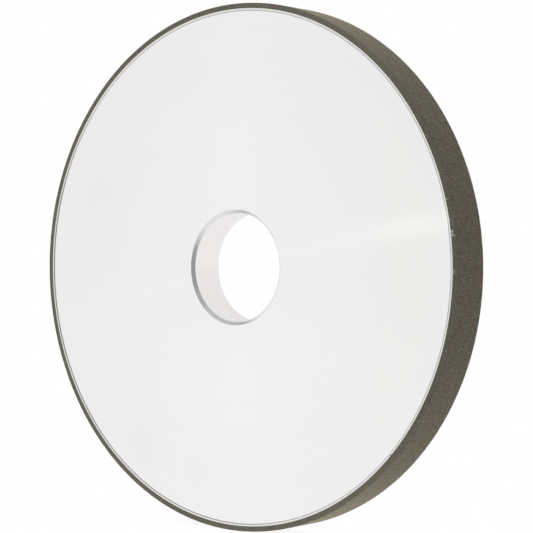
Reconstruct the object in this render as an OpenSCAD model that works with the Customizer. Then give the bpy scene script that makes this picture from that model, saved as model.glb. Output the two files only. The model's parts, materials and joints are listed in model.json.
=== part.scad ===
// Straight diamond grinding wheel: a turned aluminium core that carries a thin resin-bond diamond rim.
// The wheel's centre is the origin, its spin axis is +Y, and +Z is up. All sizes are in millimetres.

/* [Wheel] */
// Outside diameter over the abrasive rim
wheel_d = 152.4; // [100:0.1:250]
// Width of the wheel, measured at the rim
wheel_w = 12.7; // [10:0.1:25]

/* [Core] */
// Diameter of the bore that fits the arbor
bore_d = 31.75; // [12.7:0.05:50.8]
// Width of the 45 degree chamfer at each end of the bore
bore_chamfer = 0.9; // [0.3:0.1:2]
// How far each turned face lies below the lip and the rim
face_relief = 0.2; // [0.05:0.05:0.5]
// Width of the lip that stays level with the rim
lip_w = 0.4; // [0.3:0.05:2]

/* [Abrasive layer] */
// Radial depth of the whole layer, from the core's edge to the outside
layer_depth = 1.5875; // [1:0.0125:10]
// Thickness of the adhesive film within that depth
film_t = 0.08; // [0.04:0.01:0.2]
// Width of the small bevel on the rim's two outer edges
edge_break = 0.05; // [0.05:0.05:0.4]

/* [Keying grooves] */
// Number of V grooves turned round the core's edge
key_count = 5; // [1:1:5]
// Depth of each groove, which is also half its width
key_depth = 0.4; // [0.1:0.05:0.6]
// Distance between neighbouring grooves
key_pitch = 2.1; // [1.4:0.1:2.1]

/* [Hidden] */
$fn = 180;
wheel_r = wheel_d / 2;
bore_r = bore_d / 2;
core_r = wheel_r - layer_depth;
bond_r = core_r + film_t;
lip_r = core_r - lip_w;
rim_y = wheel_w / 2;
face_y = rim_y - face_relief;

function reversed(points) = [for (i = [len(points) - 1 : -1 : 0]) points[i]];

// One side of the joint between core and rim at radius r, as [radius, y] from -Y to +Y.
function keyed_edge(r) = [
    [r, -rim_y],
    for (i = [0 : key_count - 1])
        let (y = (i - (key_count - 1) / 2) * key_pitch)
        each [[r, y - key_depth], [r - key_depth, y], [r, y + key_depth]],
    [r, rim_y]
];

// Turns a [radius, y] outline round the wheel's axis.
module turned(outline) {
    rotate([-90, 0, 0])
        rotate_extrude()
            polygon(outline);
}

module core_disc() {
    half = [
        [bore_r, face_y - bore_chamfer],
        [bore_r + bore_chamfer, face_y],
        [lip_r - face_relief, face_y],
        [lip_r, rim_y]
    ];
    color("gainsboro")
        turned(concat(
            half,
            reversed(keyed_edge(core_r)),
            [for (p = reversed(half)) [p.x, -p.y]]
        ));
}

module bond_film() {
    color("tan")
        turned(concat(keyed_edge(core_r), reversed(keyed_edge(bond_r))));
}

module abrasive_rim() {
    color([0.35, 0.33, 0.28])
        turned(concat(
            keyed_edge(bond_r),
            [
                [wheel_r - edge_break, rim_y],
                [wheel_r, rim_y - edge_break],
                [wheel_r, -rim_y + edge_break],
                [wheel_r - edge_break, -rim_y]
            ]
        ));
}

core_disc();
bond_film();
abrasive_rim();
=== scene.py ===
import json
import math

import bpy
import numpy as np
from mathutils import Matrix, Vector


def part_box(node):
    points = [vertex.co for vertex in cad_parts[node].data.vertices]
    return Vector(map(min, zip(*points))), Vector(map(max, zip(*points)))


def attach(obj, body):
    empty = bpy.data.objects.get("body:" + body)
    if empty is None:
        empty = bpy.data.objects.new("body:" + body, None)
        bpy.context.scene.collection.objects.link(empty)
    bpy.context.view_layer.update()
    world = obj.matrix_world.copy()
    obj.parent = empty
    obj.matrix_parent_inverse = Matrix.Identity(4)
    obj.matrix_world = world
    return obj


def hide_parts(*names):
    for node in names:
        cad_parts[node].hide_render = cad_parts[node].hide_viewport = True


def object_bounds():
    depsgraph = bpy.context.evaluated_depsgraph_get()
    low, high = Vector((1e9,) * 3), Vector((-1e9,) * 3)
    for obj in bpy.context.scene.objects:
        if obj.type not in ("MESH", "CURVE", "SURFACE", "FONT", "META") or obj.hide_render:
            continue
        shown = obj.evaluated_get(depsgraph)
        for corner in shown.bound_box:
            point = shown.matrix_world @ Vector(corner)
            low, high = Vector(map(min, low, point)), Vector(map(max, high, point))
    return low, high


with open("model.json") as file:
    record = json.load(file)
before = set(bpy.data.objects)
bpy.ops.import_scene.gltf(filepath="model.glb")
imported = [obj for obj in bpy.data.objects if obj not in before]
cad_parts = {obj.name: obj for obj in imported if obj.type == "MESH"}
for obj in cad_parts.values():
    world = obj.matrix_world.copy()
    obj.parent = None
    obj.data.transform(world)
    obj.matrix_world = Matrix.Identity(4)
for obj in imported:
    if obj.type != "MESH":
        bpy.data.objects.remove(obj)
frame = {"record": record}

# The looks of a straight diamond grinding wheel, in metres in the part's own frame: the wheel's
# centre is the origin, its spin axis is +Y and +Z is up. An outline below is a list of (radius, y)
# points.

MM = 0.001
cad_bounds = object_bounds()

# ---------------------------------------------------------------- sizes

rim_low, rim_high = (np.array(corner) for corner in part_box("abrasive_rim"))
WHEEL_R = rim_high[2]
RIM_Y = rim_high[1]
mounts = {m["name"]: m for m in frame["record"]["mounts"]}
BORE_R = mounts["arbor_bore"]["dims"]["r_mm"] * MM
BORE_WALL_Y = mounts["arbor_bore"]["dims"]["length_mm"] * MM / 2
FACE_Y = mounts["back_flange_seat"]["pos_m"][1]

CORE_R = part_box("core_disc")[1][2]
BOND_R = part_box("bond_film")[1][2]
LIP_W = 0.4 * MM
LIP_R = CORE_R - LIP_W
STEP_R = LIP_R - (RIM_Y - FACE_Y)
RELIEF_W = 0.10 * MM      # the tool runs out into a small groove at the foot of the step
RELIEF_DEPTH = 0.07 * MM
CHAMFER_R = BORE_R + (FACE_Y - BORE_WALL_Y)
EDGE_BREAK = 0.05 * MM    # the bevel at the rim's two outer corners
GRAIN_PROUD = 0.025 * MM  # how far the tallest grains stand out of the resin, or half that on the sides
KEY_COUNT = 5
KEY_DEPTH = 0.4 * MM
KEY_PITCH = 2.1 * MM

CORE_SEGMENTS = 360
RIM_SEGMENTS = 1200


# ---------------------------------------------------------------- mesh helpers

def make_piece(name, points, quads, material, sharp_deg=30):
    """A mesh object from an array of points and an array of faces, smooth apart from its corners."""
    mesh = bpy.data.meshes.new(name)
    mesh.from_pydata(points.tolist(), [], quads.tolist())
    mesh.validate()
    mesh.shade_smooth()
    mesh.set_sharp_from_angle(angle=math.radians(sharp_deg))
    mesh.materials.append(material)
    piece = bpy.data.objects.new(name, mesh)
    bpy.context.collection.objects.link(piece)
    return piece


def ring_points(outline, segments):
    """The outline turned round the Y axis, as an array [point of the outline, segment, xyz]."""
    outline = np.array(outline)
    turn = np.arange(segments) * 2 * math.pi / segments
    radius = outline[:, 0][:, None]
    height = np.repeat(outline[:, 1][:, None], segments, axis=1)
    return np.stack([radius * np.cos(turn), height, radius * np.sin(turn)], axis=2)


def ring_faces(count, segments):
    """The faces that close a turned outline of count points."""
    row, column = np.meshgrid(np.arange(count), np.arange(segments), indexing="ij")
    next_row = (row + 1) % count
    next_column = (column + 1) % segments
    corners = [
        row * segments + column,
        next_row * segments + column,
        next_row * segments + next_column,
        row * segments + next_column,
    ]
    return np.stack(corners, axis=2).reshape(-1, 4)


def turned_piece(name, outline, material):
    """A piece of the core or its bond: the outline turned right round the axis."""
    points = ring_points(outline, CORE_SEGMENTS).reshape(-1, 3)
    return make_piece(name, points, ring_faces(len(outline), CORE_SEGMENTS), material)


def mirrored(outline):
    """The same outline on the other side of the wheel, in the order that carries on round."""
    return [(r, -y) for r, y in reversed(outline)]


def between(start, end, step):
    """Evenly spaced points from start up to, but not including, end."""
    start, end = np.array(start), np.array(end)
    count = max(1, round(float(np.linalg.norm(end - start)) / step))
    return [tuple(start + (end - start) * i / count) for i in range(count)]


def rounded(before, corner, after, radius, steps=4):
    """A short curve in place of a corner between two straight runs."""
    before, corner, after = np.array(before), np.array(corner), np.array(after)
    to_before = (before - corner) / np.linalg.norm(before - corner)
    to_after = (after - corner) / np.linalg.norm(after - corner)
    half_angle = math.acos(float(np.clip(to_before @ to_after, -1, 1))) / 2
    reach = radius / math.tan(half_angle)
    first, last = corner + to_before * reach, corner + to_after * reach
    points = []
    for i in range(steps + 1):
        t = i / steps
        points.append(tuple((1 - t) ** 2 * first + 2 * t * (1 - t) * corner + t**2 * last))
    return points


def keyed_edge(radius):
    """The V grooves of the joint between core and rim, from -Y to +Y."""
    points = [(radius, -RIM_Y)]
    for i in range(KEY_COUNT):
        y = (i - (KEY_COUNT - 1) / 2) * KEY_PITCH
        points += [(radius, y - KEY_DEPTH), (radius - KEY_DEPTH, y), (radius, y + KEY_DEPTH)]
    return points + [(radius, RIM_Y)]


# ---------------------------------------------------------------- node helpers

class Nodes:
    """A short way to write the node tree of a material or a world."""

    def __init__(self, owner):
        owner.use_nodes = True
        self.owner = owner
        self.tree = owner.node_tree
        self.shader = self.tree.nodes.get("Principled BSDF")

    def add(self, kind, inputs=None, **settings):
        node = self.tree.nodes.new(kind)
        for key, value in settings.items():
            setattr(node, key, value)
        for key, value in (inputs or {}).items():
            self.put(node.inputs[key], value)
        return node

    def put(self, socket, value):
        if isinstance(value, bpy.types.NodeSocket):
            self.tree.links.new(value, socket)
        else:
            socket.default_value = value

    def math(self, operation, a, b=0.0):
        return self.add("ShaderNodeMath", {0: a, 1: b}, operation=operation).outputs[0]

    def vector(self, operation, a, b=(0, 0, 0)):
        return self.add("ShaderNodeVectorMath", {0: a, 1: b}, operation=operation)

    def ramp(self, value, low, high, to_low=0.0, to_high=1.0):
        """A smooth step: value runs from low to high, and the result from to_low to to_high."""
        inputs = {0: value, 1: low, 2: high, 3: to_low, 4: to_high}
        return self.add("ShaderNodeMapRange", inputs, interpolation_type="SMOOTHSTEP").outputs[0]

    def mix(self, factor, a, b, blend="MIX"):
        node = self.add("ShaderNodeMix", data_type="RGBA", blend_type=blend)
        for socket, value in ((node.inputs[0], factor), (node.inputs[6], a), (node.inputs[7], b)):
            self.put(socket, value)
        return node.outputs[2]

    def noise(self, vector, scale, detail=2.0, rough=0.5):
        inputs = {"Vector": vector, "Scale": scale, "Detail": detail, "Roughness": rough}
        return self.add("ShaderNodeTexNoise", inputs).outputs[0]

    def place(self):
        """The point on the wheel, in metres."""
        return self.add("ShaderNodeTexCoord").outputs["Object"]

    def lathe_vector(self, around, across):
        """A vector that changes slowly round the wheel and quickly across it, for marks a lathe leaves.
        It holds the radius plus the width position, times across, and a unit circle times around."""
        split = self.add("ShaderNodeSeparateXYZ", {0: self.place()}).outputs
        flat = self.add("ShaderNodeCombineXYZ", {0: split[0], 2: split[2]}).outputs[0]
        radius = self.vector("LENGTH", flat).outputs["Value"]
        unit = self.add("ShaderNodeSeparateXYZ", {0: self.vector("NORMALIZE", flat).outputs[0]}).outputs
        depth = self.math("ADD", radius, split[1])
        parts = {
            0: self.math("MULTIPLY", unit[0], around),
            1: self.math("MULTIPLY", depth, across),
            2: self.math("MULTIPLY", unit[2], around),
        }
        return self.add("ShaderNodeCombineXYZ", parts).outputs[0], radius


def colour(red, green, blue):
    return (red, green, blue, 1.0)


WHITE = colour(1, 1, 1)


# ---------------------------------------------------------------- materials

# Finger marks on the face: the middle of each as (x, z), its reach, both in mm, and how strong it is.
FINGER_MARKS = (
    ((-37, -54), 9.0, 0.5),
    ((-15, -60), 6.0, 0.3),
    ((-54, 21), 9.0, 0.2),
    ((-57, 10), 7.0, 0.15),
)
LIP_STAIN = (55.1, -50.6)  # the middle of a small resin stain at the edge of the lip, as (x, z) in mm

METAL_INNER = colour(0.914, 0.914, 0.914)
METAL_OUTER = colour(0.898, 0.898, 0.898)
TURNING_LINE = colour(0.965, 0.965, 0.965)
SMUDGE = colour(0.93, 0.922, 0.91)
WORN_BAND = colour(0.922, 0.914, 0.893)
GREASE = colour(0.885, 0.855, 0.858)
# The next colour is painted shade for the foot of the step.
STEP_PAINTED_SHADE = colour(0.52, 0.51, 0.48)
LIP_METAL = colour(0.80, 0.80, 0.775)
STAIN = colour(0.13, 0.11, 0.08)
BORE_METAL = colour(0.905, 0.89, 0.88)
BORE_METAL_DULL = colour(0.89, 0.863, 0.85)


def worn_band(n, place, radius, cloud):
    """How worn the metal is: a patchy arc of the outer face, on the wheel's right."""
    x = n.add("ShaderNodeSeparateXYZ", {0: place}).outputs[0]
    worn_in = n.ramp(radius, 0.60 * WHEEL_R, 0.80 * WHEEL_R)
    worn_out = n.ramp(radius, 0.95 * WHEEL_R, 0.86 * WHEEL_R)
    band = n.math("MULTIPLY", n.math("MULTIPLY", worn_in, worn_out), n.ramp(x, 34 * MM, 58 * MM))
    return n.math("MULTIPLY", band, n.ramp(cloud, 0.3, 0.6))


def finger_grease(n, place, cloud):
    """How greasy the metal is: the strongest finger mark at each point, broken up by a cloud."""
    grease = 0.0
    for (mark_x, mark_z), reach, strength in FINGER_MARKS:
        away = n.vector("SUBTRACT", place, (mark_x * MM, -FACE_Y, mark_z * MM)).outputs[0]
        distance = n.vector("LENGTH", away).outputs["Value"]
        print_mark = n.ramp(distance, reach * MM, reach * 0.3 * MM, 0.0, strength)
        grease = n.math("MAXIMUM", grease, print_mark)
    return n.math("MULTIPLY", grease, n.ramp(cloud, 0.35, 0.6, 0.3, 1.0))


def lip_stain(n, place):
    """How strongly the resin stains the lip: most inside a quarter of a millimetre."""
    off_stain = n.vector("SUBTRACT", place, (LIP_STAIN[0] * MM, -RIM_Y, LIP_STAIN[1] * MM)).outputs[0]
    stain = n.ramp(n.vector("LENGTH", off_stain).outputs["Value"], 0.55 * MM, 0.25 * MM)
    return n.math("MULTIPLY", stain, 0.85)


def turned_aluminium():
    """Bright metal with turning lines round the axis. Each mix lays one mark over what is below it."""
    n = Nodes(bpy.data.materials.new("turned aluminium"))
    fine_vector, radius = n.lathe_vector(around=0.6, across=3500.0)
    broad_vector, _ = n.lathe_vector(around=0.5, across=900.0)
    fine = n.noise(fine_vector, 1.0, detail=2.0)
    broad = n.noise(broad_vector, 1.0, detail=3.0)
    place = n.place()
    cloud = n.noise(place, 150.0, detail=4.0, rough=0.62)
    smudge = n.ramp(n.noise(place, 26.0, detail=4.0, rough=0.62), 0.52, 0.72)
    band = worn_band(n, place, radius, cloud)
    grease = finger_grease(n, place, cloud)

    lines = n.math("ADD", n.math("MULTIPLY", broad, 0.5), n.math("MULTIPLY", fine, 0.5))
    outward = n.ramp(radius, 0.45 * WHEEL_R, 0.80 * WHEEL_R)
    metal = n.mix(outward, METAL_INNER, METAL_OUTER)
    metal = n.mix(n.ramp(lines, 0.25, 0.75, 0.04, 0.38), metal, TURNING_LINE)
    metal = n.mix(smudge, metal, SMUDGE)
    metal = n.mix(band, metal, WORN_BAND)
    metal = n.mix(grease, metal, GREASE)
    # Painted shade: the metal is darker in the relief groove and up the step, where shade falls at the
    # step's foot.
    in_corner = n.ramp(radius, STEP_R - 2 * RELIEF_W, STEP_R - RELIEF_W)
    painted_step_shade = n.math("MULTIPLY", in_corner, n.ramp(radius, LIP_R, STEP_R))
    metal = n.mix(n.math("MULTIPLY", painted_step_shade, 0.8), metal, STEP_PAINTED_SHADE)
    metal = n.mix(n.ramp(radius, LIP_R, LIP_R + 0.05 * MM), metal, LIP_METAL)
    metal = n.mix(lip_stain(n, place), metal, STAIN)
    in_bore = n.ramp(radius, BORE_R + 0.12 * MM, BORE_R + 0.05 * MM)
    metal = n.mix(in_bore, metal, n.mix(n.ramp(cloud, 0.35, 0.65), BORE_METAL, BORE_METAL_DULL))
    n.put(n.shader.inputs["Base Color"], metal)

    n.shader.inputs["Metallic"].default_value = 1.0
    worn = n.ramp(broad, 0.2, 0.8, 0.12, 0.145)
    marked = n.math("MULTIPLY", n.math("MAXIMUM", smudge, grease), 0.03)
    n.put(n.shader.inputs["Roughness"], n.math("ADD", worn, marked))
    n.shader.inputs["Anisotropic"].default_value = 1.0
    n.shader.inputs["Anisotropic Rotation"].default_value = 0.25
    tangent = n.add("ShaderNodeTangent", direction_type="RADIAL", axis="Y")
    n.put(n.shader.inputs["Tangent"], tangent.outputs[0])
    height = n.math("ADD", fine, n.math("MULTIPLY", broad, 1.5))
    bump = n.add("ShaderNodeBump", {"Height": height, "Distance": 1.2e-6, "Strength": 1.0})
    n.put(n.shader.inputs["Normal"], bump.outputs[0])
    return n.owner


def cured_adhesive():
    n = Nodes(bpy.data.materials.new("cured adhesive"))
    mottle = n.noise(n.place(), 3000.0, detail=3.0)
    amber = n.mix(mottle, colour(0.085, 0.072, 0.045), colour(0.15, 0.13, 0.09))
    n.put(n.shader.inputs["Base Color"], amber)
    n.put(n.shader.inputs["Roughness"], n.ramp(mottle, 0.3, 0.7, 0.45, 0.6))
    return n.owner


OLIVE = colour(0.034, 0.031, 0.014)
OLIVE_PALE = colour(0.079, 0.072, 0.033)
RUSTY = colour(0.058, 0.036, 0.019)
RUSTY_PALE = colour(0.102, 0.069, 0.039)
DRESSING_STREAK = colour(0.142, 0.124, 0.077)
CLUMP = colour(0.105, 0.098, 0.057)
UPPER_PAINTED_SHADE = colour(0.955, 0.965, 0.945)    # painted shade: the resin is a little darker over most of the wheel
LOW_PAINTED_WARM_LIGHT = colour(1.11, 1.08, 1.07)    # and painted warm light: a little paler and warmer low down
# Colours of the rim's sides; the first is darker and greener, as painted shade for the wheel's right.
SIDE_PAINTED_SHADE = colour(0.16, 0.162, 0.13)
SIDE_RESIN = colour(0.242, 0.23, 0.19)
PALE_GRIT = colour(0.25, 0.235, 0.155)
DARK_GRIT = colour(0.022, 0.018, 0.011)


def diamond_resin():
    """Olive-brown resin full of grit, in rusty patches and paler on the sides of the rim, with painted
    shade and painted warm light.
    """
    n = Nodes(bpy.data.materials.new("diamond resin"))
    place = n.place()
    grit = n.add("ShaderNodeTexVoronoi", {"Vector": place, "Scale": 6500.0}, feature="F1")
    tone = n.add("ShaderNodeSeparateColor", {0: grit.outputs["Color"]}).outputs[0]
    mottle = n.noise(place, 900.0, detail=4.0, rough=0.6)
    streak_vector, _ = n.lathe_vector(around=9.0, across=1500.0)
    streak = n.noise(streak_vector, 1.0, detail=2.0)

    resin = n.mix(mottle, OLIVE, OLIVE_PALE)
    resin = n.mix(n.ramp(streak, 0.45, 0.75, 0.0, 0.35), resin, DRESSING_STREAK)
    clump = n.noise(place, 2400.0, detail=3.0, rough=0.6)
    resin = n.mix(n.ramp(clump, 0.35, 0.65), resin, n.mix(0.5, resin, CLUMP))
    hue = n.noise(place, 330.0, detail=4.0)
    resin = n.mix(n.ramp(hue, 0.42, 0.58, 0.0, 0.95), resin, n.mix(mottle, RUSTY, RUSTY_PALE))
    x, y, z = n.add("ShaderNodeSeparateXYZ", {0: place}).outputs
    # Painted light and shade: the resin is darker over most of the wheel and paler and warmer low down.
    painted_light_by_height = n.mix(n.ramp(z, -12 * MM, -42 * MM), UPPER_PAINTED_SHADE, LOW_PAINTED_WARM_LIGHT)
    resin = n.mix(1.0, resin, painted_light_by_height, blend="MULTIPLY")
    # The sides of the rim are paler; painted shade makes them darker and greener towards the wheel's
    # right.
    on_side = n.ramp(n.math("ABSOLUTE", y), RIM_Y - 0.12 * MM, RIM_Y - 0.06 * MM)
    side_with_painted_shade = n.mix(n.ramp(x, 70 * MM, 45 * MM), SIDE_PAINTED_SHADE, SIDE_RESIN)
    resin = n.mix(n.math("MULTIPLY", on_side, 0.6), resin, side_with_painted_shade)
    pale = n.ramp(tone, 0.83, 0.95)
    dark = n.ramp(tone, 0.16, 0.06)
    resin = n.mix(n.math("MULTIPLY", pale, 0.8), resin, PALE_GRIT)
    resin = n.mix(n.math("MULTIPLY", dark, 0.8), resin, DARK_GRIT)
    n.put(n.shader.inputs["Base Color"], resin)

    n.put(n.shader.inputs["Roughness"], n.ramp(tone, 0.7, 0.95, 0.68, 0.42))
    n.shader.inputs["Specular IOR Level"].default_value = 0.36
    n.shader.inputs["Sheen Weight"].default_value = 0.5
    n.shader.inputs["Sheen Roughness"].default_value = 0.35
    n.shader.inputs["Sheen Tint"].default_value = colour(1.0, 0.86, 0.58)
    height = n.math("ADD", tone, n.math("MULTIPLY", mottle, 1.2))
    bump = n.add("ShaderNodeBump", {"Height": height, "Distance": 2.5e-5, "Strength": 0.6})
    n.put(n.shader.inputs["Normal"], bump.outputs[0])
    return n.owner


def diamond_grain():
    n = Nodes(bpy.data.materials.new("diamond grain"))
    cell = n.add("ShaderNodeTexVoronoi", {"Vector": n.place(), "Scale": 2600.0}, feature="F1")
    tone = n.add("ShaderNodeSeparateColor", {0: cell.outputs["Color"]}).outputs[0]
    crystal = n.mix(tone, colour(0.085, 0.08, 0.055), colour(0.24, 0.23, 0.16))
    n.put(n.shader.inputs["Base Color"], crystal)
    n.shader.inputs["Roughness"].default_value = 0.22
    n.shader.inputs["IOR"].default_value = 1.9
    return n.owner


# ---------------------------------------------------------------- the core

def core_outline():
    """The turned core: bore wall, chamfers, faces with turning waves, steps, lips and keying grooves."""
    waves = np.random.RandomState(11)
    face_wave = 0.0007 * MM
    bore_wave = 0.0015 * MM
    feed = 0.6 * MM           # the tool's travel from one wave to the next
    corner_radius = 0.05 * MM
    wall_end = (BORE_R, BORE_WALL_Y)
    face_start = (CHAMFER_R, FACE_Y)
    face_end = (STEP_R - RELIEF_W, FACE_Y)
    relief_foot = (STEP_R - RELIEF_W / 10, FACE_Y - RELIEF_DEPTH)
    lip_start = (LIP_R, RIM_Y)
    lip_end = (CORE_R, RIM_Y)

    def side():
        into_chamfer = rounded((BORE_R, 0), wall_end, face_start, corner_radius)
        onto_face = rounded(wall_end, face_start, face_end, corner_radius)
        into_relief = rounded(face_start, face_end, relief_foot, corner_radius / 3, steps=2)
        up_step = rounded(face_end, relief_foot, lip_start, corner_radius / 3, steps=2)
        onto_lip = rounded(relief_foot, lip_start, lip_end, corner_radius / 2)
        face = between(onto_face[-1], into_relief[0], feed)[1:]
        face = [(r, y - abs(waves.normal(0, face_wave))) for r, y in face]
        return into_chamfer + onto_face + face + into_relief + up_step + onto_lip

    back, front = side(), side()
    wall = between(front[0], (BORE_R, -front[0][1]), feed)
    wall = [(r + abs(waves.normal(0, bore_wave)), -y) for r, y in wall[1:]]
    return wall + back + list(reversed(keyed_edge(CORE_R))) + mirrored(front)


def build_core(metal):
    piece = turned_piece("core_body", core_outline(), metal)
    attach(piece, "root")
    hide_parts("core_disc")


def build_film():
    outline = keyed_edge(CORE_R) + list(reversed(keyed_edge(BOND_R)))
    piece = turned_piece("glue_line", outline, cured_adhesive())
    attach(piece, "root")
    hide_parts("bond_film")


# ---------------------------------------------------------------- the abrasive rim

def build_rim():
    """The resin ring. Its worked surfaces lie just inside the rim's size and are pitted by dressing."""
    pits = np.random.RandomState(23)
    pit_depth = 0.02 * MM
    nick_share = 0.05         # of the points along the corners
    nick_low, nick_high = 0.03 * MM, 0.12 * MM
    hair = 1e-6 * MM          # a margin for comparing sizes
    grid = 0.4 * MM
    skin_r, skin_y = WHEEL_R - GRAIN_PROUD, RIM_Y - GRAIN_PROUD / 2
    bond_side = [(r, min(max(y, -skin_y), skin_y)) for r, y in keyed_edge(BOND_R)]
    side_start, side_end = (BOND_R, skin_y), (skin_r - EDGE_BREAK, skin_y)
    edge_end = (skin_r, skin_y - EDGE_BREAK)
    side = between(side_start, side_end, grid)[1:] + between(side_end, edge_end, grid / 2)
    outside = between(edge_end, (skin_r, -edge_end[1]), grid)
    outline = bond_side + side + outside + mirrored(side)
    points = ring_points(outline, RIM_SEGMENTS)

    outline_r, outline_y = np.array(outline).T
    worked = np.arange(len(outline)) >= len(bond_side)
    on_side = worked & (np.abs(outline_y) >= skin_y - hair)
    in_corner = worked & (np.abs(outline_y) >= edge_end[1] - hair) & (outline_r >= side_end[0] - hair)
    depth = pits.uniform(-0.5, 1.0, points.shape[:2]) * pit_depth * worked[:, None]
    nicked = pits.random(points.shape[:2]) < nick_share
    nicks = nicked * pits.uniform(nick_low, nick_high, points.shape[:2])
    depth = depth + nicks * in_corner[:, None]

    radial = points * [1, 0, 1]
    radial /= np.linalg.norm(radial, axis=2, keepdims=True)
    axial = np.sign(points) * [0, 1, 0]
    outward = np.where(on_side[:, None, None], axial, radial)
    points = points - outward * depth[:, :, None]

    quads = ring_faces(len(outline), RIM_SEGMENTS)
    resin = diamond_resin()
    piece = make_piece("abrasive_ring", points.reshape(-1, 3), quads, resin, sharp_deg=40)
    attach(piece, "root")
    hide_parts("abrasive_rim")


def build_grains():
    """Single diamond grains that stand out of the resin, as far as the wheel's full size."""
    chance = np.random.RandomState(37)
    count = 3000
    side_share = 0.2
    margin = 0.1 * MM
    on_side = chance.random(count) < side_share
    size = chance.uniform(0.055, 0.085, count) * MM
    turn = chance.uniform(0, 2 * math.pi, count)
    side_r = chance.uniform(BOND_R + margin, WHEEL_R - 1.5 * margin, count)
    outer_y = chance.uniform(-RIM_Y + margin, RIM_Y - margin, count)
    radius = np.where(on_side, side_r, WHEEL_R - size)
    y = np.where(on_side, np.sign(outer_y) * (RIM_Y - size), outer_y)
    middle = np.stack([radius * np.cos(turn), y, radius * np.sin(turn)], axis=1)

    spin, _ = np.linalg.qr(chance.normal(size=(count, 3, 3)))
    arms = spin * size[:, None, None]
    points = np.concatenate([middle[:, None] + arms, middle[:, None] - arms], axis=1)
    upper = [(0, 1, 2), (1, 3, 2), (3, 4, 2), (4, 0, 2)]
    lower = [(1, 0, 5), (3, 1, 5), (4, 3, 5), (0, 4, 5)]
    tips = 6                  # of one eight-sided grain
    faces = (np.array(upper + lower)[None] + tips * np.arange(count)[:, None, None]).reshape(-1, 3)
    piece = make_piece("diamond_grains", points.reshape(-1, 3), faces, diamond_grain(), sharp_deg=10)
    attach(piece, "root")
    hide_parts("abrasive_rim")


# Burrs of aluminium that truing dragged from the lip over the side of the rim: the angle round the
# wheel in degrees, the length and the width at the root in mm, and how many degrees the tip leans.
BURRS = (
    (6.7, 1.55, 0.50, 0.05),
    (7.3, 1.15, 0.70, 0.35),
    (9.8, 0.60, 0.25, 0.20),
    (12.4, 0.55, 0.20, 0.15),
    (14.1, 1.00, 0.18, 0.10),
    (-0.2, 0.80, 0.15, -0.55),
    (-1.0, 0.90, 0.12, 0.50),
)


def build_burrs(metal):
    """Each burr is a frayed bundle of thin flakes that start in the lip and lie on the rim's side."""
    frayed = np.random.RandomState(41)
    stations = 8
    flake_w = 0.075 * MM
    flake_pitch = 0.045       # mm of the burr's width for each flake
    lean_spread = 0.22        # degrees
    rooted = 0.12             # mm of each flake that lies inside the lip
    under, over = RIM_Y - 0.030 * MM, RIM_Y - 0.004 * MM
    root = CORE_R - rooted * MM
    points, quads = [], []
    for angle, length, width, lean in BURRS:
        for _ in range(round(width / flake_pitch)):
            start = math.radians(angle) + frayed.uniform(-0.5, 0.5) * width * MM / CORE_R
            tilt = math.radians(lean + frayed.normal(0, lean_spread))
            reach = (length * frayed.uniform(0.35, 1.0) + rooted) * MM
            base = len(points)
            for i in range(stations):
                t = i / (stations - 1)
                radius = root + reach * t
                turn = start + tilt * t**1.4
                half = flake_w / 2 / radius * (1.02 - t) ** 0.7 * frayed.uniform(0.6, 1.3)
                for y, side in ((under, -1), (under, 1), (over, 1), (over, -1)):
                    edge = turn + side * half
                    points.append((radius * math.cos(edge), -y, radius * math.sin(edge)))
            for i in range(stations - 1):
                k = base + 4 * i
                for j in range(4):
                    after = (j + 1) % 4
                    quads.append((k + j, k + after, k + 4 + after, k + 4 + j))
            end = base + 4 * (stations - 1)
            quads += [(base + 3, base + 2, base + 1, base), (end, end + 1, end + 2, end + 3)]
    piece = make_piece("lip_burrs", np.array(points), np.array(quads), metal)
    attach(piece, "root")
    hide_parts("core_disc")


aluminium = turned_aluminium()
build_core(aluminium)
build_film()
build_rim()
build_grains()
build_burrs(aluminium)


# ---------------------------------------------------------------- camera, floor and light

def place_camera():
    """A long lens, all but level with the wheel's centre and about 39 degrees round to its right."""
    data = bpy.data.cameras.new("camera")
    data.lens = 117.85
    camera = bpy.data.objects.new("camera", data)
    camera.location = (0.3233, -0.3936, 0.0034)
    camera.rotation_euler = (math.radians(89.642), 0, math.radians(38.799))
    bpy.context.collection.objects.link(camera)
    bpy.context.scene.camera = camera


def white_floor():
    """A white floor that lets light through, with a soft shade only where the wheel touches it."""
    size, z = 3.0, cad_bounds[0][2]
    shade_reach = 6 * MM
    corners = [(-size, -size, z), (size, -size, z), (size, size, z), (-size, size, z)]
    mesh = bpy.data.meshes.new("floor")
    mesh.from_pydata(corners, [], [(0, 1, 2, 3)])
    n = Nodes(bpy.data.materials.new("white floor"))
    open_share = n.add("ShaderNodeAmbientOcclusion", {"Distance": shade_reach}).outputs["AO"]
    white = n.mix(n.ramp(open_share, 0.0, 0.7), colour(0.93, 0.93, 0.93), WHITE)
    glow = n.add("ShaderNodeEmission", {"Color": white}).outputs[0]
    clear = n.add("ShaderNodeBsdfTransparent").outputs[0]
    seen = n.add("ShaderNodeLightPath").outputs["Is Camera Ray"]
    both = n.add("ShaderNodeMixShader", {0: seen, 1: clear, 2: glow}).outputs[0]
    n.put(n.tree.nodes["Material Output"].inputs[0], both)
    mesh.materials.append(n.owner)
    floor = bpy.data.objects.new("floor", mesh)
    bpy.context.collection.objects.link(floor)


ROOM_LIGHT = 0.925                   # radiance of the white studio all round
CAMERA_SIDE = (0.775, -0.625, 0.06)  # the dim side of the studio, behind the camera and to its right
SOFTBOX_EDGE = (0.765, -0.64, 0.0)   # square to the direction of the soft light that the face mirrors
OVERHEAD = (-0.15, -0.25, 0.957)     # the dim parts above and below, a little in front of the wheel
UNDERFOOT = (-0.15, -0.25, -0.957)


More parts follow.
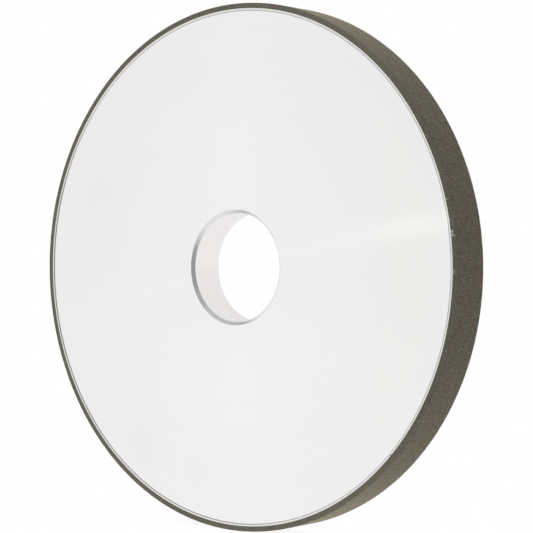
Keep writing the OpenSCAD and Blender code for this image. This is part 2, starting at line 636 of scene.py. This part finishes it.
def studio_world():
    """Soft light from all round. It is dimmer behind the camera, in a small patch straight across from
    there, overhead and underfoot, and a little brighter low down. A camera sees it as pure white."""
    n = Nodes(bpy.data.worlds.new("studio"))
    bpy.context.scene.world = n.owner
    way = n.add("ShaderNodeTexCoord").outputs["Generated"]
    height = n.add("ShaderNodeSeparateXYZ", {0: way}).outputs[2]

    def toward(direction):
        return n.vector("DOT_PRODUCT", way, direction).outputs["Value"]

    off_softbox = n.math("ABSOLUTE", toward(SOFTBOX_EDGE))
    shares = [
        n.ramp(toward(CAMERA_SIDE), 0.37, 0.98, 1.0, 0.35),
        n.ramp(toward(CAMERA_SIDE), -0.92, -0.99, 1.0, 0.82),
        n.ramp(off_softbox, 0.1, 0.0, 0.985, 1.02),
        n.ramp(height, 0.13, -0.13, 0.99, 1.025),
        n.ramp(toward(OVERHEAD), 0.6, 0.86, 1.0, 0.6),
        n.ramp(toward(UNDERFOOT), 0.6, 0.86, 1.0, 0.85),
    ]
    strength = ROOM_LIGHT
    for share in shares:
        strength = n.math("MULTIPLY", strength, share)
    light = n.tree.nodes["Background"]
    light.inputs["Color"].default_value = WHITE
    n.put(light.inputs["Strength"], strength)
    white = n.add("ShaderNodeBackground", {"Color": WHITE}).outputs[0]
    seen = n.add("ShaderNodeLightPath").outputs["Is Camera Ray"]
    both = n.add("ShaderNodeMixShader", {0: seen, 1: light.outputs[0], 2: white}).outputs[0]
    n.put(n.tree.nodes["World Output"].inputs[0], both)


def warm_lamp():
    """A small warm lamp at the front left: the turned face draws it out into one radial streak."""
    data = bpy.data.lights.new("warm lamp", "AREA")
    data.shape = "DISK"
    data.size = 0.01
    data.energy = 0.085
    data.color = (1.0, 0.93, 0.78)
    lamp = bpy.data.objects.new("warm lamp", data)
    lamp.location = (-0.163, -1.027, 0.096)
    lamp.rotation_euler = (math.radians(85), 0, math.radians(-9))
    bpy.context.collection.objects.link(lamp)


bpy.context.scene.view_settings.view_transform = "Standard"
place_camera()
white_floor()
studio_world()
warm_lamp()
